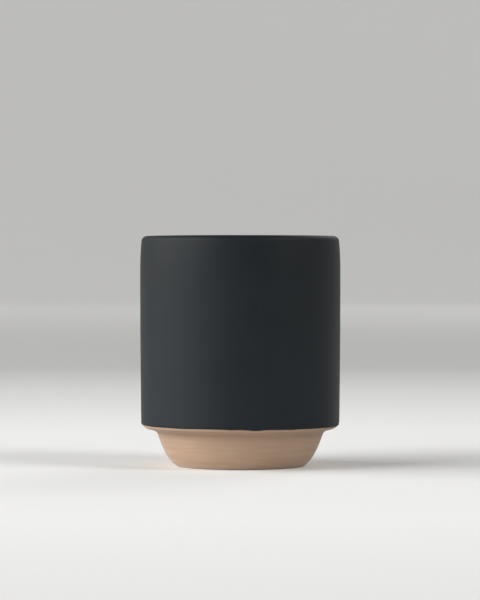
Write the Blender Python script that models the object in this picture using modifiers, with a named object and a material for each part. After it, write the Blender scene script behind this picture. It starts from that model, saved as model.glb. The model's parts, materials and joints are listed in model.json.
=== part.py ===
"""A stackable stoneware mug with no handle: a fired clay body under two coats of glaze.

The clay is turned in one piece with a narrow foot below a level ledge. The foot of one mug drops
into the mouth of the next, and the ledge then sits on the rim. The outer glaze hangs over the rim
and stops in a slightly uneven line on the ledge's rounded corner, so that the ledge and the foot
stay bare clay. The liner glaze coats the bowl and meets the outer glaze a little below the rim.

Metres, +Z up. The origin is the centre of the foot ring's resting face.
"""

import math

import bpy

# Overall form of the glazed mug
BODY_RADIUS = 0.0400
HEIGHT = 0.0917
WALL = 0.0050
LEDGE_HEIGHT = 0.0147

# The side is widest in its upper half and draws in towards the rim and towards the ledge
RIM_LEAN = 0.00052
RIM_LEAN_LENGTH = 0.0115
SIDE_TAPER = 0.00039
RIM_OUTER_ROUND = 0.00215
RIM_INNER_ROUND = 0.0010
LEDGE_CORNER_RADIUS = 0.00345

# Inside of the bowl
BOWL_RADIUS = 0.0240
BOWL_DRAFT = 0.0003
FLOOR_THICKNESS = 0.0056

# Foot, which nests in the mouth of a like mug. Its side follows a power curve: an exponent of 1
# would be a plain cone, and a larger one is steep at the ledge and round towards the base.
NEST_CLEARANCE = 0.00130
FOOT_FILLET = 0.0012
FOOT_CURVE_POWER = 1.88
FOOT_RING_RADIUS = 0.0246
FOOT_RING_WIDTH = 0.0038
RING_INNER_ROUND = 0.0005
RECESS_DEPTH = 0.0014

# Glaze coats, each held off the clay by the gap that stands for the fired bond. The clay under
# them is set back by both, so that the bare clay below the line is only a little behind the glaze.
GLAZE_THICKNESS = 0.0004
GLAZE_GAP = 0.0003
BARE_CLAY_SETBACK = 0.00015
GLAZE_LINE_ANGLE = math.radians(27.5)
LINER_BELOW_RIM = 0.0040

# Uneven lower edge of the outer glaze: the tilt that a dip a little askew gives it, a slow wave,
# and runs given by their bearing from the front of the mug (towards +X), how far they hang and
# how wide they are
LINE_TILT = 0.00028
LINE_WAVE = 0.00010
RUNS = (
    (-5.6, 0.00020, 3.0),
    (8.5, 0.00045, 5.0),
    (30.5, 0.00018, 3.0),
    (118.0, 0.00035, 6.0),
    (203.0, 0.00045, 5.0),
    (262.0, 0.00025, 7.0),
    (327.0, 0.00015, 5.0),
)

# Fineness of the turned surfaces
TURN_STEPS = 60
WALL_POINTS = 3
ROUND_POINTS = 3
CORNER_POINTS = 4
BOWL_POINTS = 9
FOOT_POINTS = 8
MERGE_DISTANCE = 0.00001

CLAY_COLOUR = (0.42, 0.285, 0.200, 1.0)
SLATE_COLOUR = (0.017, 0.021, 0.024, 1.0)
LINER_COLOUR = (0.018, 0.022, 0.025, 1.0)

# Places that follow from the sizes above
QUARTER = math.pi / 2
COAT = GLAZE_THICKNESS + GLAZE_GAP
MOUTH_RADIUS = BODY_RADIUS - WALL
FOOT_TOP_RADIUS = MOUTH_RADIUS - NEST_CLEARANCE
BOWL_FLOOR = RECESS_DEPTH + FLOOR_THICKNESS
LINER_TOP = HEIGHT - LINER_BELOW_RIM
BARE_CORNER_RADIUS = LEDGE_CORNER_RADIUS - BARE_CLAY_SETBACK
CORNER_CENTRE = (BODY_RADIUS - SIDE_TAPER - LEDGE_CORNER_RADIUS, LEDGE_HEIGHT + BARE_CORNER_RADIUS)
SHOULDER_ANGLE = GLAZE_LINE_ANGLE + GLAZE_GAP / (LEDGE_CORNER_RADIUS - COAT)


def shares(count):
    """Even steps from 0 to 1, with both ends."""
    return [i / count for i in range(count + 1)]


def arc(centre, radius, start, end, count):
    """Points (r, z) on an arc from one angle to another, with both ends."""
    angles = [start + (end - start) * share for share in shares(count)]
    return [(centre[0] + radius * math.cos(a), centre[1] + radius * math.sin(a)) for a in angles]


def joined(*stretches):
    """One path from several stretches, without the points where one starts as the last ended."""
    path = []
    for stretch in stretches:
        for point in stretch:
            if not path or math.dist(path[-1], point) > MERGE_DISTANCE:
                path.append(point)
    return path


def offset(path, distance):
    """The path moved to its right by a distance, which is into the material of these profiles."""
    normals = []
    for start, end in zip(path, path[1:]):
        length = math.dist(start, end)
        normals.append(((end[1] - start[1]) / length, (start[0] - end[0]) / length))
    moved = []
    for i, (r, z) in enumerate(path):
        before = normals[max(i - 1, 0)]
        after = normals[min(i, len(normals) - 1)]
        share = distance / (1 + before[0] * after[0] + before[1] * after[1])
        moved.append((r + (before[0] + after[0]) * share, z + (before[1] + after[1]) * share))
    return moved


def rim_rounds():
    """The rim's outer and inner rounds, which leave at least a narrow level crown between them."""
    room = 0.9 * (WALL - RIM_LEAN)
    share = min(1.0, room / (RIM_OUTER_ROUND + RIM_INNER_ROUND))
    return RIM_OUTER_ROUND * share, RIM_INNER_ROUND * share


def outer_side():
    """Glazed outside, from the crown of the rim down to the start of the ledge's corner."""
    lip_round = rim_rounds()[0]
    lean_angle = math.atan(2 * RIM_LEAN / RIM_LEAN_LENGTH)
    lip_radius = BODY_RADIUS - RIM_LEAN
    lip_height = HEIGHT - lip_round * (1 - math.sin(lean_angle))
    lip_centre = (lip_radius - lip_round * math.cos(lean_angle), HEIGHT - lip_round)
    lip = arc(lip_centre, lip_round, QUARTER, lean_angle, ROUND_POINTS)

    widest_height = lip_height - RIM_LEAN_LENGTH
    lean = []
    taper = []
    for down in shares(WALL_POINTS):
        lean_radius = BODY_RADIUS - RIM_LEAN * (1 - down) ** 2
        lean.append((lean_radius, lip_height - RIM_LEAN_LENGTH * down))
        taper_height = widest_height - (widest_height - CORNER_CENTRE[1]) * down
        taper.append((BODY_RADIUS - SIDE_TAPER * down**2, taper_height))
    return joined(lip, lean, taper)


def mouth_edge():
    """Rounded inner edge of the rim, from the bowl's wall up to the crown."""
    edge_round = rim_rounds()[1]
    centre = (MOUTH_RADIUS + edge_round, HEIGHT - edge_round)
    return arc(centre, edge_round, 2 * QUARTER, QUARTER, ROUND_POINTS)


def bowl_inside():
    """Glazed inside of the bowl, from the middle of its floor up to the liner's top edge."""
    wall_foot = MOUTH_RADIUS - BOWL_DRAFT
    sweep = min(BOWL_RADIUS, wall_foot)
    bowl = arc((wall_foot - sweep, BOWL_FLOOR + sweep), sweep, -QUARTER, 0.0, BOWL_POINTS)
    return joined([(0.0, BOWL_FLOOR)], bowl, [(MOUTH_RADIUS, LINER_TOP)])


def ledge_and_foot():
    """Bare clay from the level ledge down the foot to the middle of the recess under it."""
    draw_in = FOOT_TOP_RADIUS - FOOT_RING_RADIUS
    top_slope = math.atan(draw_in / (LEDGE_HEIGHT * FOOT_CURVE_POWER))
    tangent = FOOT_FILLET / math.tan((QUARTER + top_slope) / 2)
    fillet_centre = (FOOT_TOP_RADIUS + tangent, LEDGE_HEIGHT - FOOT_FILLET)
    fillet = arc(fillet_centre, FOOT_FILLET, QUARTER, 2 * QUARTER - top_slope, ROUND_POINTS)
    side = []
    for down in shares(FOOT_POINTS):
        height = LEDGE_HEIGHT * (1 - down) ** FOOT_CURVE_POWER
        if height < fillet[-1][1]:
            side.append((FOOT_RING_RADIUS + draw_in * (1 - down), height))

    ring_inner = FOOT_RING_RADIUS - FOOT_RING_WIDTH
    ring_edge = arc((ring_inner, RING_INNER_ROUND), RING_INNER_ROUND, -QUARTER, -2 * QUARTER, 2)
    hollow_round = RECESS_DEPTH - RING_INNER_ROUND
    hollow_centre = (ring_inner - RING_INNER_ROUND - hollow_round, RING_INNER_ROUND)
    hollow = arc(hollow_centre, hollow_round, 0.0, QUARTER, 2)
    return joined(fillet, side, ring_edge, hollow, [(0.0, RECESS_DEPTH)])


def turned(name, profile, closed, collection):
    """An object turned about Z from a profile (r, z) that keeps the material on its right."""
    mesh = bpy.data.meshes.new(name)
    points = [(r, 0.0, z) for r, z in profile]
    edges = [(i, i + 1) for i in range(len(points) - 1)]
    if closed:
        edges.append((len(points) - 1, 0))
    mesh.from_pydata(points, edges, [])
    piece = bpy.data.objects.new(name, mesh)
    collection.objects.link(piece)
    screw = piece.modifiers.new("turn", "SCREW")
    screw.axis = "Z"
    screw.angle = 2 * math.pi
    screw.steps = TURN_STEPS
    screw.render_steps = TURN_STEPS
    screw.use_merge_vertices = True
    screw.merge_threshold = MERGE_DISTANCE
    screw.use_smooth_shade = True
    return piece


def make_real(piece):
    """Turns the piece's modifiers into its own mesh, so that its vertices can be moved."""
    graph = bpy.context.evaluated_depsgraph_get()
    made = bpy.data.meshes.new_from_object(piece.evaluated_get(graph))
    profile_mesh = piece.data
    piece.modifiers.clear()
    piece.data = made
    bpy.data.meshes.remove(profile_mesh)
    made.name = piece.name


def line_drop(bearing):
    """How much further than its mean line the outer glaze runs at a bearing from the front."""
    drop = LINE_TILT * math.sin(bearing)
    drop += LINE_WAVE * (0.5 * math.sin(5 * bearing) - math.cos(2 * bearing))
    for middle, hang, width in RUNS:
        away = (math.degrees(bearing) - middle + 180.0) % 360.0 - 180.0
        drop += hang * math.exp(-((away / width) ** 2))
    return drop


def follow_glaze_line(piece):
    """Slides what lies on the ledge's corner round it, by the glaze's drop at each bearing.

    The shift grows down to the glaze's edge and the clay's shoulder below it, and dies out again
    at the ledge, so the gap between the two stays even.
    """
    for vertex in piece.data.vertices:
        x, y, z = vertex.co
        radius = math.hypot(x, y)
        out = radius - CORNER_CENTRE[0]
        below = CORNER_CENTRE[1] - z
        if out <= 0 or below <= 0:
            continue
        angle = math.atan2(below, out)
        shift = line_drop(math.atan2(x, -y)) / LEDGE_CORNER_RADIUS
        if angle <= GLAZE_LINE_ANGLE:
            angle += shift * angle / GLAZE_LINE_ANGLE
        elif angle <= SHOULDER_ANGLE + MERGE_DISTANCE:
            angle += shift
        else:
            angle += shift * (QUARTER - angle) / (QUARTER - SHOULDER_ANGLE)
        reach = math.hypot(out, below)
        new_radius = CORNER_CENTRE[0] + reach * math.cos(angle)
        vertex.co.x = x * new_radius / radius
        vertex.co.y = y * new_radius / radius
        vertex.co.z = CORNER_CENTRE[1] - reach * math.sin(angle)


def material(name, colour, roughness):
    made = bpy.data.materials.new(name)
    made.use_nodes = True
    shader = made.node_tree.nodes["Principled BSDF"]
    shader.inputs["Base Color"].default_value = colour
    shader.inputs["Roughness"].default_value = roughness
    shader.inputs["Metallic"].default_value = 0.0
    return made


def stoneware_body(collection):
    """The clay: all that lies inside the glaze coats, with the bare ledge, foot and foot ring."""
    inside = offset(joined(bowl_inside(), mouth_edge()), COAT)
    outside = offset(outer_side(), COAT)
    coated_radius = LEDGE_CORNER_RADIUS - COAT
    coated = arc(CORNER_CENTRE, coated_radius, 0.0, -SHOULDER_ANGLE, CORNER_POINTS)
    bare = arc(CORNER_CENTRE, BARE_CORNER_RADIUS, -SHOULDER_ANGLE, -QUARTER, CORNER_POINTS)
    profile = joined(inside, outside, coated, bare, ledge_and_foot())
    piece = turned("stoneware_body", profile, False, collection)
    make_real(piece)
    follow_glaze_line(piece)
    piece.data.materials.append(material("bare_clay", CLAY_COLOUR, 0.85))


def outer_glaze(collection):
    """The slate coat: down the outside to its line, and over the rim to meet the liner."""
    lip = [(MOUTH_RADIUS, LINER_TOP + GLAZE_GAP)]
    corner = arc(CORNER_CENTRE, LEDGE_CORNER_RADIUS, 0.0, -GLAZE_LINE_ANGLE, CORNER_POINTS)
    face = joined(lip, mouth_edge(), outer_side(), corner)
    profile = face + list(reversed(offset(face, GLAZE_THICKNESS)))
    piece = turned("outer_glaze", profile, True, collection)
    make_real(piece)
    follow_glaze_line(piece)
    piece.data.materials.append(material("slate_glaze", SLATE_COLOUR, 0.5))


def liner_glaze(collection):
    """The coat inside the bowl, from its floor up to the outer glaze."""
    face = bowl_inside()
    profile = face + list(reversed(offset(face, GLAZE_THICKNESS)))
    piece = turned("liner_glaze", profile, False, collection)
    piece.data.materials.append(material("liner_glaze", LINER_COLOUR, 0.3))


def main():
    for old in list(bpy.data.objects):
        bpy.data.objects.remove(old, do_unlink=True)
    collection = bpy.data.collections.new("stackable_mug")
    bpy.context.scene.collection.children.link(collection)
    stoneware_body(collection)
    outer_glaze(collection)
    liner_glaze(collection)


main()
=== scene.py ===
"""Looks of a stackable stoneware mug with no handle, laid out as a Blender add-on.

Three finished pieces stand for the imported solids: the turned clay with its bare foot, the outer
glaze with its uneven lower edge, and the liner glaze in the bowl. Each piece is a path (r, z) turned
about Z, whose rows are then shaped by their bearing. Metres, +Z up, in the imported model's frame.
"""

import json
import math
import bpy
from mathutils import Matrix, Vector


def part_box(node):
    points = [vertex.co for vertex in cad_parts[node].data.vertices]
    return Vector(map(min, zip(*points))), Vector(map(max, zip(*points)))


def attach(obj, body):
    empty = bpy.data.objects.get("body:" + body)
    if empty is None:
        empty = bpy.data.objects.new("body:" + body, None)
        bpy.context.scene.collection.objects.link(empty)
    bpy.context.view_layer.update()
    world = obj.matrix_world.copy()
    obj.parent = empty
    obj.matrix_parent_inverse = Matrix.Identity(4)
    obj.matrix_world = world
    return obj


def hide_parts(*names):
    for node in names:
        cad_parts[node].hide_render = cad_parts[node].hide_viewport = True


bl_info = {
    "name": "Stackable mug",
    "version": (1, 0, 0),
    "blender": (4, 5, 0),
    "location": "3D View > Sidebar > Mug",
    "description": "Turns and glazes a stackable stoneware mug, and sets a plain stage for it",
    "category": "Object",
}

import bpy
import numpy as np
from bpy.props import FloatProperty, FloatVectorProperty, PointerProperty
from bpy.types import NodeSocket, Operator, Panel, PropertyGroup
from mathutils import Vector

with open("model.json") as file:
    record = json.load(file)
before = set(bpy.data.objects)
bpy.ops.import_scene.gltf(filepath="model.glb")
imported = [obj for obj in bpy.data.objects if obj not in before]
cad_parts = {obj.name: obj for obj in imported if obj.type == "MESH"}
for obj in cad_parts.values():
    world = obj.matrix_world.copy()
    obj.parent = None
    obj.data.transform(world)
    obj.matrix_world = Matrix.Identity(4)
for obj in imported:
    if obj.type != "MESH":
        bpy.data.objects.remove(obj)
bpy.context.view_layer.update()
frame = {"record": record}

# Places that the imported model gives
MOUNTS = {mount["name"]: mount["pos_m"] for mount in frame["record"]["mounts"]}
SOLID_COAT = 0.0004
BODY_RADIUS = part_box("outer_glaze")[1].x
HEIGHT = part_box("outer_glaze")[1].z
LEDGE_HEIGHT = MOUNTS["stack_ledge"][2]
MOUTH_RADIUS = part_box("liner_glaze")[1].x - SOLID_COAT
BOWL_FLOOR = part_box("liner_glaze")[0].z + SOLID_COAT

# The rest of the turned form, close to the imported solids. The ledge slopes a little here, so that
# the corner, the ledge and the foot run into one another
RIM_LEAN = 0.00052
RIM_LEAN_LENGTH = 0.0115
SIDE_TAPER = 0.00039
RIM_OUTER_ROUND = 0.00215
RIM_INNER_ROUND = 0.0010
CORNER_RADIUS = 0.00338
CORNER_MIDDLE_HEIGHT = LEDGE_HEIGHT + 0.00337
LEDGE_SLOPE = 0.25
BOWL_RADIUS = 0.0240
BOWL_DRAFT = 0.0003
FOOT_TOP_RADIUS = 0.03341
FOOT_FILLET = 0.00275
FOOT_CURVE_POWER = 2.035
FOOT_RING_RADIUS = 0.02423
FOOT_RING_WIDTH = 0.0038
RING_OUTER_ROUND = 0.0003
RING_INNER_ROUND = 0.0005
RECESS_DEPTH = 0.0014
GLAZE_LINE_ANGLE = math.radians(30.5)
LAP_BELOW_RIM = 0.0040

# Uneven ends of the outer glaze, at its lower edge and at its lap inside the mouth: waves as (cycles
# round the mug, phase, height), and the lower edge's runs as (bearing from the front in degrees, how
# far they hang, how wide they are in degrees)
LINE_WAVES = (
    (1, 0.0, 0.00028),
    (2, -math.pi / 2, 0.00010),
    (5, 0.0, 0.00005),
    (17, 1.0, 0.00002),
    (29, 2.2, 0.000012),
)
LAP_WAVES = (
    (3, 0.7, 0.00008),
    (7, 2.0, 0.00005),
)
RUNS = (
    (-5.6, 0.00020, 3.0),
    (8.5, 0.00045, 5.0),
    (30.5, 0.00018, 3.0),
    (118.0, 0.00035, 6.0),
    (203.0, 0.00045, 5.0),
    (262.0, 0.00025, 7.0),
    (327.0, 0.00015, 5.0),
)

# How finely the pieces are turned
CURVE_STEP = 0.00005
NORMAL_WINDOW = 9
CLAY_COLUMNS = 360
GLAZE_COLUMNS = 540
LINER_COLUMNS = 360
FLOOR_COLUMNS = 96

# How far a coat's back stays off the clay, and how far the outer coat's two ends dip into it
SKIN = 0.000005

# Clay: how far its marks reach from the glaze's line, along the foot, and from the foot ring, and the
# bearings in radians from the front at which the painted shadow line under the glaze's bead and the
# painted shade under the ledge are strongest
BEAD_SHADOW_SIDE = 0.9
SHADED_SIDE = -0.9
BEAD_SHADOW_REACH = 0.00022
SHADE_START = 0.0004
SHADE_REACH = 0.0014
SHADE_END = 0.0032
SHADE_FADE = 0.0036
GROOVE_START = 0.0038
GROOVE_FADE = 0.0015
WEAR_AND_LIGHT_REACH = 0.0008

# Outer glaze: how far from its two ends it follows their waves, its rounded ends, the bead along its
# lower edge, and the share of a run's hang that adds to the bead's height
LINE_REACH = 0.004
LAP_REACH = 0.002
EDGE_ROUND = 0.00030
BEAD_MIDDLE = 0.0006
BEAD_WIDTH = 0.0005
RUN_THICKNESS = 0.35
THICK_REACH = 0.0011

# Liner glaze: how far its surface dips between its high spots, how far it runs on under the outer
# glaze's lap, and how far it is tucked in there as a share of its coat
LINER_RIPPLE = 0.00003
LINER_PAST_LAP = 0.0010
LINER_TUCK = 0.6

# Stage: soft lamps as (name, bearing in degrees from the front, height, width and height of the
# panel), and a floor that sweeps up into a backdrop
LAMP_DISTANCE = 4.8
LAMPS = (
    ("key", -60, 2.00, (2.60, 3.80)),
    ("edge", -95, 2.00, (3.30, 3.80)),
    ("fill", -27, 1.10, (1.70, 2.00)),
    ("side", 60, 2.84, (2.10, 2.10)),
    ("back", 150, 2.84, (2.10, 2.10)),
)
FLOOR_RINGS = (0.0, 0.2, 0.6, 1.6, 3.2)
SWEEP_START = 5.2
SWEEP_RADIUS = 3.4
BACKDROP_TOP = 8.2
CAMERA_SIDE = -0.000114
CAMERA_PITCH = math.radians(0.656)

QUARTER = math.pi / 2


def colour_setting(name, description, colour):
    return FloatVectorProperty(
        name=name,
        description=description,
        subtype="COLOR",
        size=3,
        min=0.0,
        max=1.0,
        default=colour,
    )


def length_setting(name, description, length, least=0.0, most=10.0):
    return FloatProperty(
        name=name,
        description=description,
        default=length,
        min=least,
        max=most,
        unit="LENGTH",
    )


def roughness_setting(description, roughness):
    return FloatProperty(
        name="Roughness",
        description=description,
        default=roughness,
        min=0.0,
        max=1.0,
        subtype="FACTOR",
    )


def power_setting(name, description, power):
    return FloatProperty(name=name, description=description, default=power, min=0.0, unit="POWER")


class MugClay(PropertyGroup):
    """Bare clay: its colours, and the marks that trimming leaves on the foot."""

    colour: colour_setting("Clay colour", "Fired stoneware where it is left bare", (0.400, 0.264, 0.172))
    # Darker clay for the streaks, the grain and the trimming grooves, also used for the painted shade under
    # the ledge
    toasted_and_shade: colour_setting(
        "Toasted and shade colour",
        "Darker clay for the streaks, grain and grooves, and painted shade under the ledge",
        (0.300, 0.188, 0.115),
    )
    # Painted shadow of the glaze's bead: a near black line on the clay under the glaze's lower edge
    bead_shadow_colour: colour_setting(
        "Bead shadow colour",
        "Painted shadow, a thin dark line on the clay just under the glaze's lower edge",
        (0.045, 0.034, 0.027),
    )
    # Pale clay on the foot ring and in its recess, partly wear and partly painted light that lifts the shade
    # along the base edge
    worn: colour_setting(
        "Worn and lit colour",
        "Pale rubbed clay on the foot ring and in its recess, also painted light along the base edge",
        (0.640, 0.500, 0.400),
    )
    pale: colour_setting("Pale colour", "Fine pale grains and the dusty high spots", (0.495, 0.365, 0.270))
    groove_pitch: length_setting(
        "Groove pitch",
        "Height that the trimming tool climbs in one turn",
        0.0011,
        least=0.0003,
        most=0.005,
    )
    groove_depth: length_setting(
        "Groove depth",
        "Mean depth of the fine lines that trimming leaves",
        0.000018,
        most=0.0003,
    )
    roughness: roughness_setting("Roughness of the bare clay", 0.62)


class MugGlaze(PropertyGroup):
    """Slate glaze over the outside and the rim."""

    colour: colour_setting("Glaze colour", "Slate glaze at its usual thickness", (0.0079, 0.0112, 0.0137))
    thin: colour_setting(
        "Thin glaze colour",
        "Glaze where it draws away from the edges of the rim",
        (0.0088, 0.0120, 0.0143),
    )
    thick: colour_setting(
        "Thick glaze colour",
        "Glaze where it gathers at its lower edge",
        (0.0070, 0.0080, 0.0080),
    )
    coat: length_setting(
        "Coat thickness",
        "Thickness of the fired coat",
        0.00010,
        least=0.00005,
        most=0.0004,
    )
    bead: length_setting(
        "Bead height",
        "Extra thickness where the glaze gathers at its lower edge",
        0.00012,
        most=0.0004,
    )
    roughness: roughness_setting("Roughness of the satin surface", 0.55)
    ripple: length_setting(
        "Ripple",
        "How far the glaze's surface dips between its high spots",
        0.00003,
        most=0.0003,
    )


class MugLiner(PropertyGroup):
    """Slate glaze in the bowl, glossier than outside."""

    colour: colour_setting("Liner colour", "Liner glaze on the wall of the bowl", (0.0220, 0.0280, 0.0330))
    pooled: colour_setting(
        "Pooled colour",
        "Liner glaze where it pools on the floor",
        (0.0170, 0.0240, 0.0300),
    )
    roughness: roughness_setting("Roughness of the liner", 0.30)


class MugStage(PropertyGroup):
    """Pale floor, soft lamps and the camera."""

    floor_colour: colour_setting("Floor colour", "Floor round the mug", (0.82, 0.815, 0.80))
    far_floor_colour: colour_setting(
        "Far floor colour",
        "Floor further off, nearer to the lamps, which sweeps up into the backdrop all round",
        (0.50, 0.497, 0.488),
    )
    key_power: power_setting("Key power", "Power of the tall soft lamp on the left", 190.0)
    edge_power: power_setting("Edge power", "Power of the tall and wider soft lamp on the far left", 170.0)
    fill_power: power_setting("Fill power", "Power of the soft lamp low in front, a little to the left", 18.0)
    side_power: power_setting("Side power", "Power of the soft lamp high on the right", 96.0)
    back_power: power_setting("Back power", "Power of the soft lamp high at the back on the right", 35.0)
    sky: FloatProperty(
        name="Sky strength",
        description="Strength of the even light that the world gives",
        default=0.16,
        min=0.0,
    )
    backdrop: FloatProperty(
        name="Backdrop",
        description="How much paler the backdrop looks than the lamps alone would make it",
        default=0.60,
        min=0.0,
    )
    camera_distance: length_setting(
        "Camera distance",
        "Distance from the mug's axis to the camera",
        1.120,
        least=0.2,
    )
    camera_height: length_setting("Camera height", "Height of the camera above the floor", 0.07899)
    lens: FloatProperty(
        name="Lens",
        description="Focal length of the camera in millimetres",
        default=168.21,
        min=10.0,
        max=500.0,
    )


def arc(centre, radius, start, end, count):
    """Points (r, z) on an arc from one angle to another, with both ends."""
    angles = [start + (end - start) * i / count for i in range(count + 1)]
    return [(centre[0] + radius * math.cos(a), centre[1] + radius * math.sin(a)) for a in angles]


def outer_curve():
    """The outside from the middle of the crown down to the inner end of the ledge's corner."""
    lean_angle = math.atan(2 * RIM_LEAN / RIM_LEAN_LENGTH)
    lip_height = HEIGHT - RIM_OUTER_ROUND * (1 - math.sin(lean_angle))
    lip_middle = BODY_RADIUS - RIM_LEAN - RIM_OUTER_ROUND * math.cos(lean_angle)
    lip = arc((lip_middle, HEIGHT - RIM_OUTER_ROUND), RIM_OUTER_ROUND, QUARTER, lean_angle, 60)
    widest = lip_height - RIM_LEAN_LENGTH
    side = []
    for i in range(1, 61):
        down = i / 60
        side.append((BODY_RADIUS - RIM_LEAN * (1 - down) ** 2, lip_height - RIM_LEAN_LENGTH * down))
    for i in range(1, 121):
        down = i / 120
        height = widest - (widest - CORNER_MIDDLE_HEIGHT) * down
        side.append((BODY_RADIUS - SIDE_TAPER * down**2, height))
    corner_middle = (BODY_RADIUS - SIDE_TAPER - CORNER_RADIUS, CORNER_MIDDLE_HEIGHT)
    corner = arc(corner_middle, CORNER_RADIUS, -0.03, LEDGE_SLOPE - QUARTER, 90)
    return lip + side + corner


def mouth_curve():
    """The inside from the middle of the bowl's floor up over the mouth's edge to the crown."""
    foot_of_wall = MOUTH_RADIUS - BOWL_DRAFT
    bowl_middle = (foot_of_wall - BOWL_RADIUS, BOWL_FLOOR + BOWL_RADIUS)
    bowl = arc(bowl_middle, BOWL_RADIUS, -QUARTER, 0.0, 90)
    edge_middle = (MOUTH_RADIUS + RIM_INNER_ROUND, HEIGHT - RIM_INNER_ROUND)
    edge = arc(edge_middle, RIM_INNER_ROUND, 2 * QUARTER, QUARTER, 40)
    return [(0.0, BOWL_FLOOR)] + bowl + edge


def foot_curve():
    """Bare clay from the ledge down the foot, under its ring and to the middle of the recess."""
    reach = CORNER_RADIUS - glaze_coat()
    ledge_radius = BODY_RADIUS - SIDE_TAPER - CORNER_RADIUS + reach * math.sin(LEDGE_SLOPE)
    ledge_height = CORNER_MIDDLE_HEIGHT - reach * math.cos(LEDGE_SLOPE)
    foot_top = ledge_height - (ledge_radius - FOOT_TOP_RADIUS) * math.tan(LEDGE_SLOPE)
    draw_in = FOOT_TOP_RADIUS - FOOT_RING_RADIUS
    top_slope = math.atan(draw_in / (foot_top * FOOT_CURVE_POWER))
    tangent = FOOT_FILLET * math.tan((QUARTER - LEDGE_SLOPE - top_slope) / 2)
    fillet_middle = (
        FOOT_TOP_RADIUS + tangent * math.cos(LEDGE_SLOPE) + FOOT_FILLET * math.sin(LEDGE_SLOPE),
        foot_top + tangent * math.sin(LEDGE_SLOPE) - FOOT_FILLET * math.cos(LEDGE_SLOPE),
    )
    lowest = 0.35 * RING_OUTER_ROUND
    curve = [(ledge_radius, ledge_height)]
    curve += arc(fillet_middle, FOOT_FILLET, QUARTER + LEDGE_SLOPE, 2 * QUARTER - top_slope, 30)
    for i in range(1, 181):
        down = i / 180
        height = foot_top * (1 - down) ** FOOT_CURVE_POWER
        radius = FOOT_RING_RADIUS + draw_in * (1 - down)
        if lowest < height < curve[-1][1]:
            curve.append((radius, height))
    curve.append((FOOT_RING_RADIUS - RING_OUTER_ROUND, 0.0))
    ring_inner = FOOT_RING_RADIUS - FOOT_RING_WIDTH
    curve += arc((ring_inner, RING_INNER_ROUND), RING_INNER_ROUND, -QUARTER, -2 * QUARTER, 10)
    hollow = RECESS_DEPTH - RING_INNER_ROUND
    curve += arc((ring_inner - RING_INNER_ROUND - hollow, RING_INNER_ROUND), hollow, 0.0, QUARTER, 12)
    curve.append((0.0, RECESS_DEPTH))
    return curve


def glaze_coat():
    """Thickness of the fired coats, by which the clay is set back from the curves."""
    return bpy.context.scene.mug_glaze.coat


class Path:
    """A smooth curve (r, z) that can be read by the length along it, with its outward normals."""

    def __init__(self, points):
        points = np.array(points, float)
        steps = np.hypot(*np.diff(points, axis=0).T)
        points = points[np.append(True, steps > 1e-7)]
        lengths = np.append(0.0, np.cumsum(np.hypot(*np.diff(points, axis=0).T)))
        count = max(2, int(lengths[-1] / CURVE_STEP))
        self.along = np.linspace(0.0, lengths[-1], count)
        self.r = np.interp(self.along, lengths, points[:, 0])
        self.z = np.interp(self.along, lengths, points[:, 1])
        slope_r = np.gradient(self.r, self.along)
        slope_z = np.gradient(self.z, self.along)
        window = np.hanning(NORMAL_WINDOW) / np.hanning(NORMAL_WINDOW).sum()
        slope_r = np.convolve(np.pad(slope_r, NORMAL_WINDOW // 2, "edge"), window, "valid")
        slope_z = np.convolve(np.pad(slope_z, NORMAL_WINDOW // 2, "edge"), window, "valid")
        size = np.hypot(slope_r, slope_z)
        self.out_r = -slope_z / size
        self.out_z = slope_r / size

    @property
    def length(self):
        return self.along[-1]

    def at(self, along, out):
        """(r, z) at lengths along the curve and distances out of it, as arrays of one shape."""
        r = np.interp(along, self.along, self.r)
        z = np.interp(along, self.along, self.z)
        out_r = np.interp(along, self.along, self.out_r)
        out_z = np.interp(along, self.along, self.out_z)
        return r + out * out_r, z + out * out_z

    def where(self, test):
        """Length along the curve at which a test of (r, z) first holds."""
        return self.along[np.argmax(test(self.r, self.z))]


def stations(*stretches):
    """Lengths along a path, from stretches (start, end, step) that follow one another."""
    found = []
    for start, end, step in stretches:
        count = max(1, round(abs(end - start) / step))
        found += [start + (end - start) * i / count for i in range(count)]
    return found + [stretches[-1][1]]


def bearings(count):
    """Even bearings round the mug, from the front towards +X."""
    return np.arange(count) * 2 * math.pi / count


def line_length(path):
    """Length along the outside at which the glaze's mean lower line lies."""
    line_height = CORNER_MIDDLE_HEIGHT - CORNER_RADIUS * math.sin(GLAZE_LINE_ANGLE)
    return path.where(lambda r, z: z < line_height)


def waves(table, bearing):
    """Sum of a table of waves, at each bearing."""
    return sum(height * np.sin(cycles * bearing + phase) for cycles, phase, height in table)


def run_hang(bearing):
    """How much further the runs hang, at each bearing."""
    hang = np.zeros_like(bearing)
    for middle, length, width in RUNS:
        away = (np.degrees(bearing) - middle + 180.0) % 360.0 - 180.0
        hang += length * np.exp(-((away / width) ** 2))
    return hang


def line_drop(bearing):
    """How much further than its mean line the outer glaze runs, at each bearing."""
    return waves(LINE_WAVES, bearing) + run_hang(bearing)


def facing(bearing, side):
    """From 1 at the bearing of a side to 0 opposite to it."""
    return 0.5 + 0.5 * np.cos(bearing - side)


def faded(distance, start, reach):
    """From 0 at a start to 1 a reach further on."""
    return np.clip((distance - start) / reach, 0.0, 1.0)


def smooth(share):
    """A share from 0 to 1, eased at both ends."""
    return share * share * (3 - 2 * share)


def rounded(distance, reach):
    """Height of a rounded edge, from 0 at its end to 1 from a reach inwards."""
    share = np.clip(distance / reach, 0.0, 1.0)
    return np.sqrt(1 - (1 - share) ** 2)


def humped(distance, middle, width):
    """From 1 at a middle down to almost 0 two widths away."""
    return np.exp(-(((distance - middle) / width) ** 2))


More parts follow.
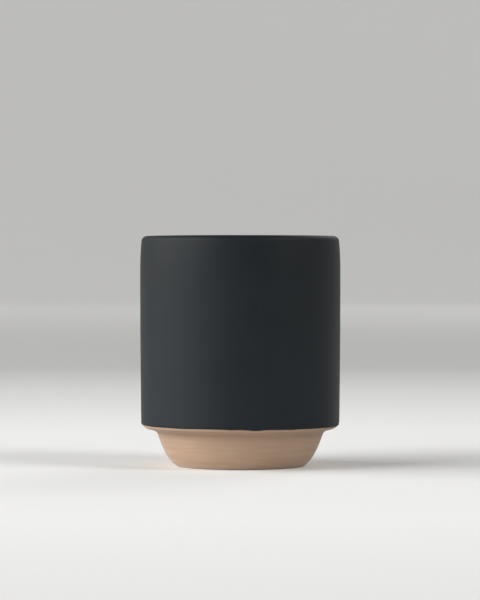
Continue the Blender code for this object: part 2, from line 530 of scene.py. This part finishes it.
def ripples(bearing, along, seed):
    """Smooth dips from 0 to 1 over a turned surface, which close up after a full turn."""
    dips = np.zeros(np.broadcast(bearing, along).shape)
    for i in range(1, 7):
        cycles = 2 * i + seed % 3
        rise = 2 * math.pi / (0.016 + 0.009 * ((i * 5 + seed) % 4))
        dips = dips + np.sin(cycles * bearing + rise * along + 1.7 * i * seed) / i**0.5
    return 0.5 + 0.5 * np.tanh(dips / 2)


def turned(name, rows, closed, attributes):
    """A mesh object from rows of (r, z) arrays over the bearings, each joined to the next.

    A row of radius 0 becomes one point. A closed piece's last row is joined to its first. Attributes
    are named arrays of rows by bearings.
    """
    count = len(rows[0][0])
    around = bearings(count)
    points = []
    faces = []
    starts = []
    values = {key: [] for key in attributes}
    for index, (r, z) in enumerate(rows):
        starts.append(len(points))
        pole = float(np.max(r)) < 1e-9
        used = 1 if pole else count
        x = r * np.sin(around)
        y = -r * np.cos(around)
        points += np.column_stack([x, y, z])[:used].tolist()
        for key, table in attributes.items():
            values[key] += np.asarray(table[index])[:used].tolist()
    follow = list(zip(range(len(rows)), range(1, len(rows))))
    if closed:
        follow.append((len(rows) - 1, 0))
    for upper, lower in follow:
        faces += band(starts, rows, upper, lower, count)
    mesh = bpy.data.meshes.new(name)
    mesh.from_pydata(points, [], faces)
    for key, table in values.items():
        layer = mesh.attributes.new(key, "FLOAT", "POINT")
        layer.data.foreach_set("value", np.array(table, np.float32))
    mesh.shade_smooth()
    mesh.validate()
    piece = bpy.data.objects.new(name, mesh)
    bpy.context.scene.collection.objects.link(piece)
    return piece


def band(starts, rows, upper, lower, count):
    """Faces between two rows, which are triangles where one of them is a point."""
    faces = []
    upper_pole = float(np.max(rows[upper][0])) < 1e-9
    lower_pole = float(np.max(rows[lower][0])) < 1e-9
    for i in range(count):
        j = (i + 1) % count
        a = starts[upper] + (0 if upper_pole else i)
        b = starts[upper] + (0 if upper_pole else j)
        c = starts[lower] + (0 if lower_pole else j)
        d = starts[lower] + (0 if lower_pole else i)
        face = [a, d, c, b]
        if upper_pole:
            face = [a, d, c]
        elif lower_pole:
            face = [a, d, b]
        faces.append(face)
    return faces


def node(tree, kind, inputs=None, **settings):
    """A new node. A socket among its inputs is linked, and any other value is written."""
    made = tree.nodes.new(kind)
    for name, value in settings.items():
        setattr(made, name, value)
    for key, value in (inputs or {}).items():
        if isinstance(value, NodeSocket):
            tree.links.new(value, made.inputs[key])
        else:
            made.inputs[key].default_value = value
    return made


def noise(tree, place, scale=1.0, detail=3.0, roughness=0.5):
    inputs = {"Vector": place, "Scale": scale, "Detail": detail, "Roughness": roughness}
    return node(tree, "ShaderNodeTexNoise", inputs).outputs["Fac"]


def spread(tree, value, low, high, to_low=0.0, to_high=1.0):
    """A value moved from one range to another, and held within it."""
    inputs = {"Value": value, "From Min": low, "From Max": high, "To Min": to_low, "To Max": to_high}
    return node(tree, "ShaderNodeMapRange", inputs).outputs["Result"]


def varied(tree, by, least, most):
    """A value from the least to the most as a noise goes from its low places to its high ones."""
    return spread(tree, by, 0.3, 0.7, least, most)


def mixed(tree, factor, first, second, blend="MIX"):
    """A colour from the first to the second as the factor goes from 0 to 1."""
    made = node(tree, "ShaderNodeMix", data_type="RGBA", blend_type=blend)
    for index, value in ((0, factor), (6, first), (7, second)):
        if isinstance(value, NodeSocket):
            tree.links.new(value, made.inputs[index])
        elif index == 0:
            made.inputs[index].default_value = value
        else:
            made.inputs[index].default_value = (*value, 1.0)
    return made.outputs[2]


def tinted(tree, colour, tint, by, low, high, most):
    """A colour that takes on a tint as a value goes from low to high, by the most share at high."""
    return mixed(tree, spread(tree, by, low, high, to_high=most), colour, tint)


def shaded(tree, colour, shade):
    """A colour multiplied by a value."""
    grey = node(tree, "ShaderNodeCombineColor", {0: shade, 1: shade, 2: shade}).outputs[0]
    return mixed(tree, 1.0, colour, grey, "MULTIPLY")


def calc(tree, operation, first, second):
    return node(tree, "ShaderNodeMath", {0: first, 1: second}, operation=operation).outputs[0]


def attribute(tree, name):
    return node(tree, "ShaderNodeAttribute", attribute_name=name).outputs["Fac"]


def stretched(tree, place, across, up):
    """The place with its axes scaled, so that a pattern draws out along the smaller scale."""
    scales = {"Vector": place, "Scale": (across, across, up)}
    return node(tree, "ShaderNodeMapping", scales).outputs["Vector"]


def bumped(tree, height, distance, under=None):
    inputs = {"Height": height, "Distance": distance, "Strength": 1.0}
    if under:
        inputs["Normal"] = under
    return node(tree, "ShaderNodeBump", inputs).outputs["Normal"]


def new_material(name):
    """(material, node tree, its shader, the place on the object) for a node material."""
    made = bpy.data.materials.new(name)
    made.use_nodes = True
    tree = made.node_tree
    place = node(tree, "ShaderNodeTexCoord").outputs["Object"]
    return made, tree, tree.nodes["Principled BSDF"], place


def write_inputs(shader, values):
    for name, value in values.items():
        shader.inputs[name].default_value = value


def clay_material(clay):
    made, tree, shader, place = new_material("bare_stoneware")
    cloud = noise(tree, place, scale=70.0)
    streak = noise(tree, stretched(tree, place, across=25.0, up=1900.0), roughness=0.6)
    wide_streak = noise(tree, stretched(tree, place, across=40.0, up=780.0), detail=2.0)
    grain = noise(tree, place, scale=3800.0, detail=2.0, roughness=0.6)
    colour = tinted(tree, clay.colour, clay.pale, by=cloud, low=0.35, high=0.65, most=0.22)
    colour = tinted(tree, colour, clay.toasted_and_shade, by=streak, low=0.35, high=0.75, most=0.30)
    colour = tinted(tree, colour, clay.toasted_and_shade, by=wide_streak, low=0.50, high=0.66, most=0.32)
    colour = tinted(tree, colour, clay.pale, by=wide_streak, low=0.46, high=0.34, most=0.22)
    colour = tinted(tree, colour, clay.toasted_and_shade, by=attribute(tree, "groove"), low=0.0, high=1.0, most=0.25)
    colour = tinted(tree, colour, clay.pale, by=grain, low=0.56, high=0.72, most=0.20)
    colour = tinted(tree, colour, clay.toasted_and_shade, by=grain, low=0.44, high=0.30, most=0.20)
    # Painted shade under the ledge: the bare corner and the top of the foot are mixed towards the darker clay
    colour = mixed(tree, attribute(tree, "hollow"), colour, clay.toasted_and_shade)
    # Painted shadow under the glaze's bead, mixed towards the near black colour
    toast = calc(tree, "MULTIPLY", attribute(tree, "toast"), 0.80)
    colour = mixed(tree, toast, colour, clay.bead_shadow_colour)
    # Partly wear and partly painted light: paler clay on the ring, in the recess and up the base edge
    colour = mixed(tree, attribute(tree, "worn"), colour, clay.worn)
    tree.links.new(colour, shader.inputs["Base Color"])
    rough = varied(tree, grain, clay.roughness - 0.06, clay.roughness + 0.06)
    tree.links.new(rough, shader.inputs["Roughness"])
    write_inputs(shader, {
        "Specular IOR Level": 0.80,
        "Sheen Weight": 0.10,
        "Sheen Roughness": 0.38,
        "Sheen Tint": (1.0, 0.98, 0.96, 1.0),
    })
    lines = bumped(tree, streak, distance=0.000020)
    tree.links.new(bumped(tree, grain, distance=0.000012, under=lines), shader.inputs["Normal"])
    return made


def glaze_material(glaze):
    made, tree, shader, place = new_material("slate_glaze")
    cloud = noise(tree, place, scale=60.0, detail=4.0, roughness=0.55)
    flow = noise(tree, stretched(tree, place, across=420.0, up=45.0), detail=2.0)
    fine = noise(tree, place, scale=2600.0, detail=2.0)
    colour = mixed(tree, attribute(tree, "thin"), glaze.colour, glaze.thin)
    colour = mixed(tree, attribute(tree, "thick"), colour, glaze.thick)
    shade = calc(tree, "MULTIPLY", varied(tree, cloud, 0.90, 1.10), varied(tree, flow, 0.96, 1.04))
    shade = calc(tree, "MULTIPLY", shade, varied(tree, fine, 0.94, 1.06))
    # Painted light: the glaze is painted lighter towards the ledge and darker towards the rim, to even out
    # the lamps' light from top to bottom
    height = node(tree, "ShaderNodeSeparateXYZ", {0: place}).outputs["Z"]
    shade = calc(tree, "MULTIPLY", shade, spread(tree, height, LEDGE_HEIGHT, HEIGHT, 1.15, 0.85))
    tree.links.new(shaded(tree, colour, shade), shader.inputs["Base Color"])
    rough = varied(tree, cloud, glaze.roughness - 0.03, glaze.roughness + 0.03)
    tree.links.new(rough, shader.inputs["Roughness"])
    write_inputs(shader, {"Specular IOR Level": 0.18})
    peel = bumped(tree, noise(tree, place, scale=650.0, detail=1.0), distance=0.000012)
    tree.links.new(bumped(tree, fine, distance=0.000004, under=peel), shader.inputs["Normal"])
    return made


def liner_material(liner):
    made, tree, shader, place = new_material("liner_slate")
    cloud = noise(tree, place, scale=55.0, detail=4.0, roughness=0.55)
    fine = noise(tree, place, scale=2200.0, detail=2.0)
    colour = mixed(tree, attribute(tree, "pooled"), liner.colour, liner.pooled)
    shade = calc(tree, "MULTIPLY", varied(tree, cloud, 0.90, 1.10), varied(tree, fine, 0.95, 1.05))
    tree.links.new(shaded(tree, colour, shade), shader.inputs["Base Color"])
    rough = varied(tree, cloud, liner.roughness - 0.04, liner.roughness + 0.04)
    tree.links.new(rough, shader.inputs["Roughness"])
    write_inputs(shader, {"Specular IOR Level": 0.45})
    peel = bumped(tree, noise(tree, place, scale=500.0, detail=1.0), distance=0.000010)
    tree.links.new(peel, shader.inputs["Normal"])
    return made


def whole(values, count):
    """A column of values, one for each row, repeated for every bearing."""
    return np.repeat(np.asarray(values, float)[:, None], count, axis=1)


def finish_piece(piece, material, node_name):
    piece.data.materials.append(material)
    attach(piece, "root")
    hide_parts(node_name)


def clay_wall(around, shade):
    """Rows of the clay up the bowl and down the outside to its bare corner, with their marks."""
    inside = Path(mouth_curve())
    outside = Path(outer_curve())
    line = line_length(outside)
    brim = inside.length - 0.003
    lip = 0.0045
    bend = line - 0.003
    bared = line - 0.0012
    hidden = stations(
        (0.0, 0.012, 0.003),
        (0.012, 0.048, 0.002),
        (0.048, brim, 0.012),
        (brim, inside.length, 0.0003),
    )
    covered = stations((0.0, lip, 0.0003), (lip, bend, 0.006), (bend, bared, 0.0006))
    bare = stations((bared, outside.length, 0.00014))
    bead_shadow_share = facing(around, BEAD_SHADOW_SIDE)
    drop = line_drop(around)
    rows = []
    marks = {"groove": [], "toast": [], "worn": [], "hollow": []}
    for path, lengths in ((inside, hidden), (outside, covered + bare)):
        r, z = path.at(whole(lengths, CLAY_COLUMNS), -glaze_coat())
        for i, length in enumerate(lengths):
            below = length - line - drop if path is outside else np.full(CLAY_COLUMNS, -1.0)
            # Painted shadow under the glaze's bead: darkest just under the glaze's line, fading downwards,
            # strongest right of the front
            edge = np.exp(-np.maximum(below, 0.0) / BEAD_SHADOW_REACH) * bead_shadow_share
            rows.append((np.maximum(r[i], 0.0), z[i]))
            marks["groove"].append(np.zeros(CLAY_COLUMNS))
            marks["toast"].append(np.where(below > -0.0003, edge, 0.0))
            marks["worn"].append(np.zeros(CLAY_COLUMNS))
            # Painted shade on the bare corner under the ledge, from a little below the glaze's line
            marks["hollow"].append(shade * smooth(faded(below, SHADE_START, SHADE_REACH)))
    return rows, marks


def trimming(along, turn, pitch):
    """Depth from 0 to 1 of the lines that trimming leaves, which climb the foot as it turns."""
    climb = 2 * math.pi * along / pitch
    cut = np.sin(climb + turn)
    for finer, cycles, start, share in ((1.73, 2, 1.1, 0.6), (2.61, 3, 0.4, 0.5)):
        cut = cut + share * np.sin(finer * climb + cycles * turn + start)
    return 0.5 - cut / 4.2


def clay_foot(clay, around, shade):
    """Rows of the bare clay from the ledge to the middle of the recess, with their marks."""
    foot = Path(foot_curve())
    ring = foot.where(lambda r, z: z < 0.0002)
    recess = foot.where(lambda r, z: r < FOOT_RING_RADIUS - FOOT_RING_WIDTH - 0.0001)
    lengths = stations((0.00015, ring, 0.00015), (ring, recess, 0.0003), (recess, foot.length, 0.0008))
    along = whole(lengths, CLAY_COLUMNS)
    depth = trimming(along, around[None, :], clay.groove_pitch)
    on_ring = (along > ring - 0.0003) & (along < recess + 0.0003)
    depth = depth * np.where(on_ring, 0.0, faded(along, GROOVE_START, GROOVE_FADE))
    r, z = foot.at(along, -2 * clay.groove_depth * depth)
    r[-1] = 0.0
    rows = [(np.maximum(r[i], 0.0), z[i]) for i in range(len(lengths))]
    # Paler clay from the ring up the base edge: partly wear, partly painted light over the contact shade
    worn = [math.exp(-max(ring - length, 0.0) / WEAR_AND_LIGHT_REACH) for length in lengths]
    # Painted shade over the top of the foot under the ledge, fading out further down
    shaded_share = [1 - smooth(faded(length, SHADE_END, SHADE_FADE)) for length in lengths]
    marks = {
        "groove": list(depth),
        "toast": [np.zeros(CLAY_COLUMNS) for length in lengths],
        "worn": [np.full(CLAY_COLUMNS, share) for share in worn],
        "hollow": [shade * share for share in shaded_share],
    }
    return rows, marks


class MUG_OT_turn_clay(Operator):
    """Turn the clay, with its bare ledge, foot and foot ring"""

    bl_idname = "mug.turn_clay"
    bl_label = "Turn the clay"

    def execute(self, context):
        clay = context.scene.mug_clay
        around = bearings(CLAY_COLUMNS)
        # Strength of the painted shade under the ledge at each bearing, most on the left
        shade = 0.35 + 0.65 * facing(around, SHADED_SIDE)
        rows, marks = clay_wall(around, shade)
        foot_rows, foot_marks = clay_foot(clay, around, shade)
        marks = {key: values + foot_marks[key] for key, values in marks.items()}
        piece = turned("clay_body", rows + foot_rows, False, marks)
        finish_piece(piece, clay_material(clay), "stoneware_body")
        return {"FINISHED"}


def thinness(past_crown):
    """From 0 to 1 where the glaze draws thin, which is on the two rounded edges of the rim."""
    outer_edge = humped(past_crown, 0.0022, 0.0011)
    inner_edge = humped(past_crown, -0.0008, 0.0008)
    return np.clip(outer_edge + inner_edge, 0.0, 1.0)


class MUG_OT_glaze_outside(Operator):
    """Pour the slate glaze over the outside and the rim, down to its uneven line"""

    bl_idname = "mug.glaze_outside"
    bl_label = "Glaze the outside"

    def execute(self, context):
        glaze = context.scene.mug_glaze
        turn = bearings(GLAZE_COLUMNS)[None, :]
        outer = outer_curve()
        inner = mouth_curve()
        path = Path(inner + outer)
        crown = Path(inner).length
        lap = path.where(lambda r, z: z > HEIGHT - LAP_BELOW_RIM)
        line = crown + line_length(Path(outer)) + (outer[0][0] - inner[-1][0])
        lengths = stations(
            (lap, lap + 0.0006, 0.00006),
            (lap + 0.0006, crown - 0.0020, 0.0004),
            (crown - 0.0020, crown + 0.0012, 0.0002),
            (crown + 0.0012, crown + 0.0052, 0.00025),
            (crown + 0.0052, crown + 0.018, 0.0009),
            (crown + 0.018, line - 0.004, 0.0015),
            (line - 0.004, line - 0.0012, 0.0002),
            (line - 0.0012, line, 0.00006),
        )
        along = whole(lengths, GLAZE_COLUMNS)
        to_line = line - along
        from_lap = along - lap

        line_share = smooth(np.clip(1 - to_line / LINE_REACH, 0.0, 1.0))
        lap_share = smooth(np.clip(1 - from_lap / LAP_REACH, 0.0, 1.0))
        moved = along + line_drop(turn) * line_share - waves(LAP_WAVES, turn) * lap_share

        gathered = glaze.bead + RUN_THICKNESS * run_hang(turn)
        bead = gathered * humped(to_line, BEAD_MIDDLE, BEAD_WIDTH)
        ripple = glaze.ripple * ripples(turn, along, 3) * (1 - line_share)
        ripple = ripple * faded(along - crown, 0.0005, 0.006)
        ends = np.minimum(rounded(to_line, EDGE_ROUND), rounded(from_lap, EDGE_ROUND))
        thickness = (glaze.coat + bead - ripple) * ends - SKIN
        r, z = path.at(moved, thickness - glaze.coat)
        rows = list(zip(r, z))
        # The back of the coat follows fewer of the rows
        back = list(range(len(lengths) - 6, 5, -4))
        under_r, under_z = path.at(moved, SKIN - glaze.coat)
        rows += [(under_r[i], under_z[i]) for i in back]
        marks = {"thick": np.exp(-to_line / THICK_REACH), "thin": thinness(along - crown)}
        marks = {key: list(table) + [table[i] for i in back] for key, table in marks.items()}
        piece = turned("slate_outside", rows, True, marks)
        finish_piece(piece, glaze_material(glaze), "outer_glaze")
        return {"FINISHED"}


class MUG_OT_glaze_bowl(Operator):
    """Pour the liner glaze into the bowl, up to the outer glaze"""

    bl_idname = "mug.glaze_bowl"
    bl_label = "Glaze the bowl"

    def execute(self, context):
        coat = glaze_coat()
        path = Path(mouth_curve())
        top = path.where(lambda r, z: z > HEIGHT - LAP_BELOW_RIM + LINER_PAST_LAP)
        wall = path.where(lambda r, z: z > BOWL_FLOOR + BOWL_RADIUS)
        lengths = stations(
            (0.0, 0.010, 0.001),
            (0.010, wall, 0.0008),
            (wall, top - 0.002, 0.002),
            (top - 0.002, top, 0.0002),
        )
        along = whole(lengths, LINER_COLUMNS)
        turn = bearings(LINER_COLUMNS)[None, :]
        dip = LINER_RIPPLE * ripples(turn, along, 5) * faded(along, 0.006, 0.012)
        tuck = LINER_TUCK * coat * faded(along - top, -0.0012, 0.0004)
        r, z = path.at(along, -dip - tuck)
        r[0] = 0.0
        rows = list(zip(np.maximum(r, 0.0), z))
        # The back of the coat follows fewer of the rows, down to the middle of the floor
        back = list(range(len(lengths) - 1, 0, -3)) + [0]
        under_r, under_z = path.at(along, SKIN - coat)
        under_r[0] = 0.0
        rows += [(np.maximum(under_r[i], 0.0), under_z[i]) for i in back]
        pooled = 1 - smooth(faded(along, 0.008, 0.020))
        marks = {"pooled": list(pooled) + [pooled[i] for i in back]}
        piece = turned("slate_liner", rows, False, marks)
        finish_piece(piece, liner_material(context.scene.mug_liner), "liner_glaze")
        return {"FINISHED"}


def soft_lamp(name, bearing, height, size, power):
    """A soft lamp at a bearing in degrees from the front and a height, which faces the mug."""
    lamp = bpy.data.lights.new(name, "AREA")
    lamp.shape = "RECTANGLE"
    lamp.size, lamp.size_y = size
    lamp.energy = power
    holder = bpy.data.objects.new(name, lamp)
    bpy.context.scene.collection.objects.link(holder)
    target = Vector((0.0, 0.0, HEIGHT / 2))
    reach = math.sqrt(LAMP_DISTANCE**2 - (height - target.z) ** 2)
    turn = math.radians(bearing)
    holder.location = (reach * math.sin(turn), -reach * math.cos(turn), height)
    holder.rotation_euler = (target - holder.location).to_track_quat("-Z", "Y").to_euler()
    holder.visible_camera = False


def floor_material(stage):
    """Pale floor, which darkens towards the lamps and then looks paler towards the backdrop.

    The paler look is a glow that only camera, glossy and transmission rays see.
    """
    made, tree, shader, place = new_material("pale_floor")
    write_inputs(shader, {
        "Roughness": 0.9,
        "Specular IOR Level": 0.2,
        "Emission Color": (*stage.far_floor_colour, 1.0),
    })
    away = node(tree, "ShaderNodeVectorMath", {0: place}, operation="LENGTH").outputs["Value"]
    tone = mixed(tree, spread(tree, away, low=0.25, high=1.1), stage.floor_colour, stage.far_floor_colour)
    tree.links.new(tone, shader.inputs["Base Color"])
    reach = {"Value": away, "From Min": 1.0, "From Max": 5.0}
    far = node(tree, "ShaderNodeMapRange", reach, interpolation_type="SMOOTHSTEP").outputs["Result"]
    rays = node(tree, "ShaderNodeLightPath").outputs
    seen = calc(tree, "ADD", rays["Is Camera Ray"], rays["Is Glossy Ray"])
    seen = calc(tree, "ADD", seen, rays["Is Transmission Ray"])
    glow = calc(tree, "MULTIPLY", calc(tree, "MULTIPLY", far, stage.backdrop), seen)
    tree.links.new(glow, shader.inputs["Emission Strength"])
    return made


class MUG_OT_set_stage(Operator):
    """Set the pale floor, the soft lamps and the camera"""

    bl_idname = "mug.set_stage"
    bl_label = "Set the stage"

    def execute(self, context):
        stage = context.scene.mug_stage
        self.floor(stage)
        for name, bearing, height, size in LAMPS:
            soft_lamp(name + "_lamp", bearing, height, size, getattr(stage, name + "_power"))
        world = bpy.data.worlds.new("studio")
        world.use_nodes = True
        sky = world.node_tree.nodes["Background"]
        sky.inputs["Color"].default_value = (1.0, 1.0, 1.0, 1.0)
        sky.inputs["Strength"].default_value = stage.sky
        context.scene.world = world
        self.camera(stage)
        context.scene.view_settings.view_transform = "Standard"
        return {"FINISHED"}

    def floor(self, stage):
        """Rings on the ground, a sweep up from them and an upright backdrop, from the top down."""
        curve = [(radius, 0.0) for radius in FLOOR_RINGS]
        curve += arc((SWEEP_START, SWEEP_RADIUS), SWEEP_RADIUS, -QUARTER, 0.0, 24)
        curve.append((SWEEP_START + SWEEP_RADIUS, BACKDROP_TOP))
        rows = [(np.full(FLOOR_COLUMNS, r), np.full(FLOOR_COLUMNS, z)) for r, z in reversed(curve)]
        floor = turned("floor", rows, False, {})
        floor.data.materials.append(floor_material(stage))

    def camera(self, stage):
        lens = bpy.data.cameras.new("camera")
        lens.lens = stage.lens
        lens.sensor_width = 36.0
        lens.clip_start = 0.01
        lens.clip_end = 20.0
        camera = bpy.data.objects.new("camera", lens)
        bpy.context.scene.collection.objects.link(camera)
        camera.location = (CAMERA_SIDE, -stage.camera_distance, stage.camera_height)
        camera.rotation_euler = (QUARTER - CAMERA_PITCH, 0.0, 0.0)
        bpy.context.scene.camera = camera


class MUG_PT_sidebar(Panel):
    """Lists the steps that make the mug"""

    bl_idname = "MUG_PT_sidebar"
    bl_label = "Stackable mug"
    bl_space_type = "VIEW_3D"
    bl_region_type = "UI"
    bl_category = "Mug"

    def draw(self, context):
        scene = context.scene
        for group, step in STEPS:
            box = self.layout.box()
            settings = getattr(scene, group)
            for name in settings.__annotations__:
                box.prop(settings, name)
            box.operator(step)


SETTINGS = {
    "mug_clay": MugClay,
    "mug_glaze": MugGlaze,
    "mug_liner": MugLiner,
    "mug_stage": MugStage,
}
STEPS = (
    ("mug_clay", MUG_OT_turn_clay.bl_idname),
    ("mug_glaze", MUG_OT_glaze_outside.bl_idname),
    ("mug_liner", MUG_OT_glaze_bowl.bl_idname),
    ("mug_stage", MUG_OT_set_stage.bl_idname),
)
CLASSES = (
    MugClay,
    MugGlaze,
    MugLiner,
    MugStage,
    MUG_OT_turn_clay,
    MUG_OT_glaze_outside,
    MUG_OT_glaze_bowl,
    MUG_OT_set_stage,
    MUG_PT_sidebar,
)


def register():
    for cls in CLASSES:
        bpy.utils.register_class(cls)
    for name, group in SETTINGS.items():
        setattr(bpy.types.Scene, name, PointerProperty(type=group))


def unregister():
    for name in SETTINGS:
        delattr(bpy.types.Scene, name)
    for cls in reversed(CLASSES):
        bpy.utils.unregister_class(cls)


def main():
    register()
    bpy.ops.mug.turn_clay()
    bpy.ops.mug.glaze_outside()
    bpy.ops.mug.glaze_bowl()
    bpy.ops.mug.set_stage()


if __name__ == "__main__":
    main()
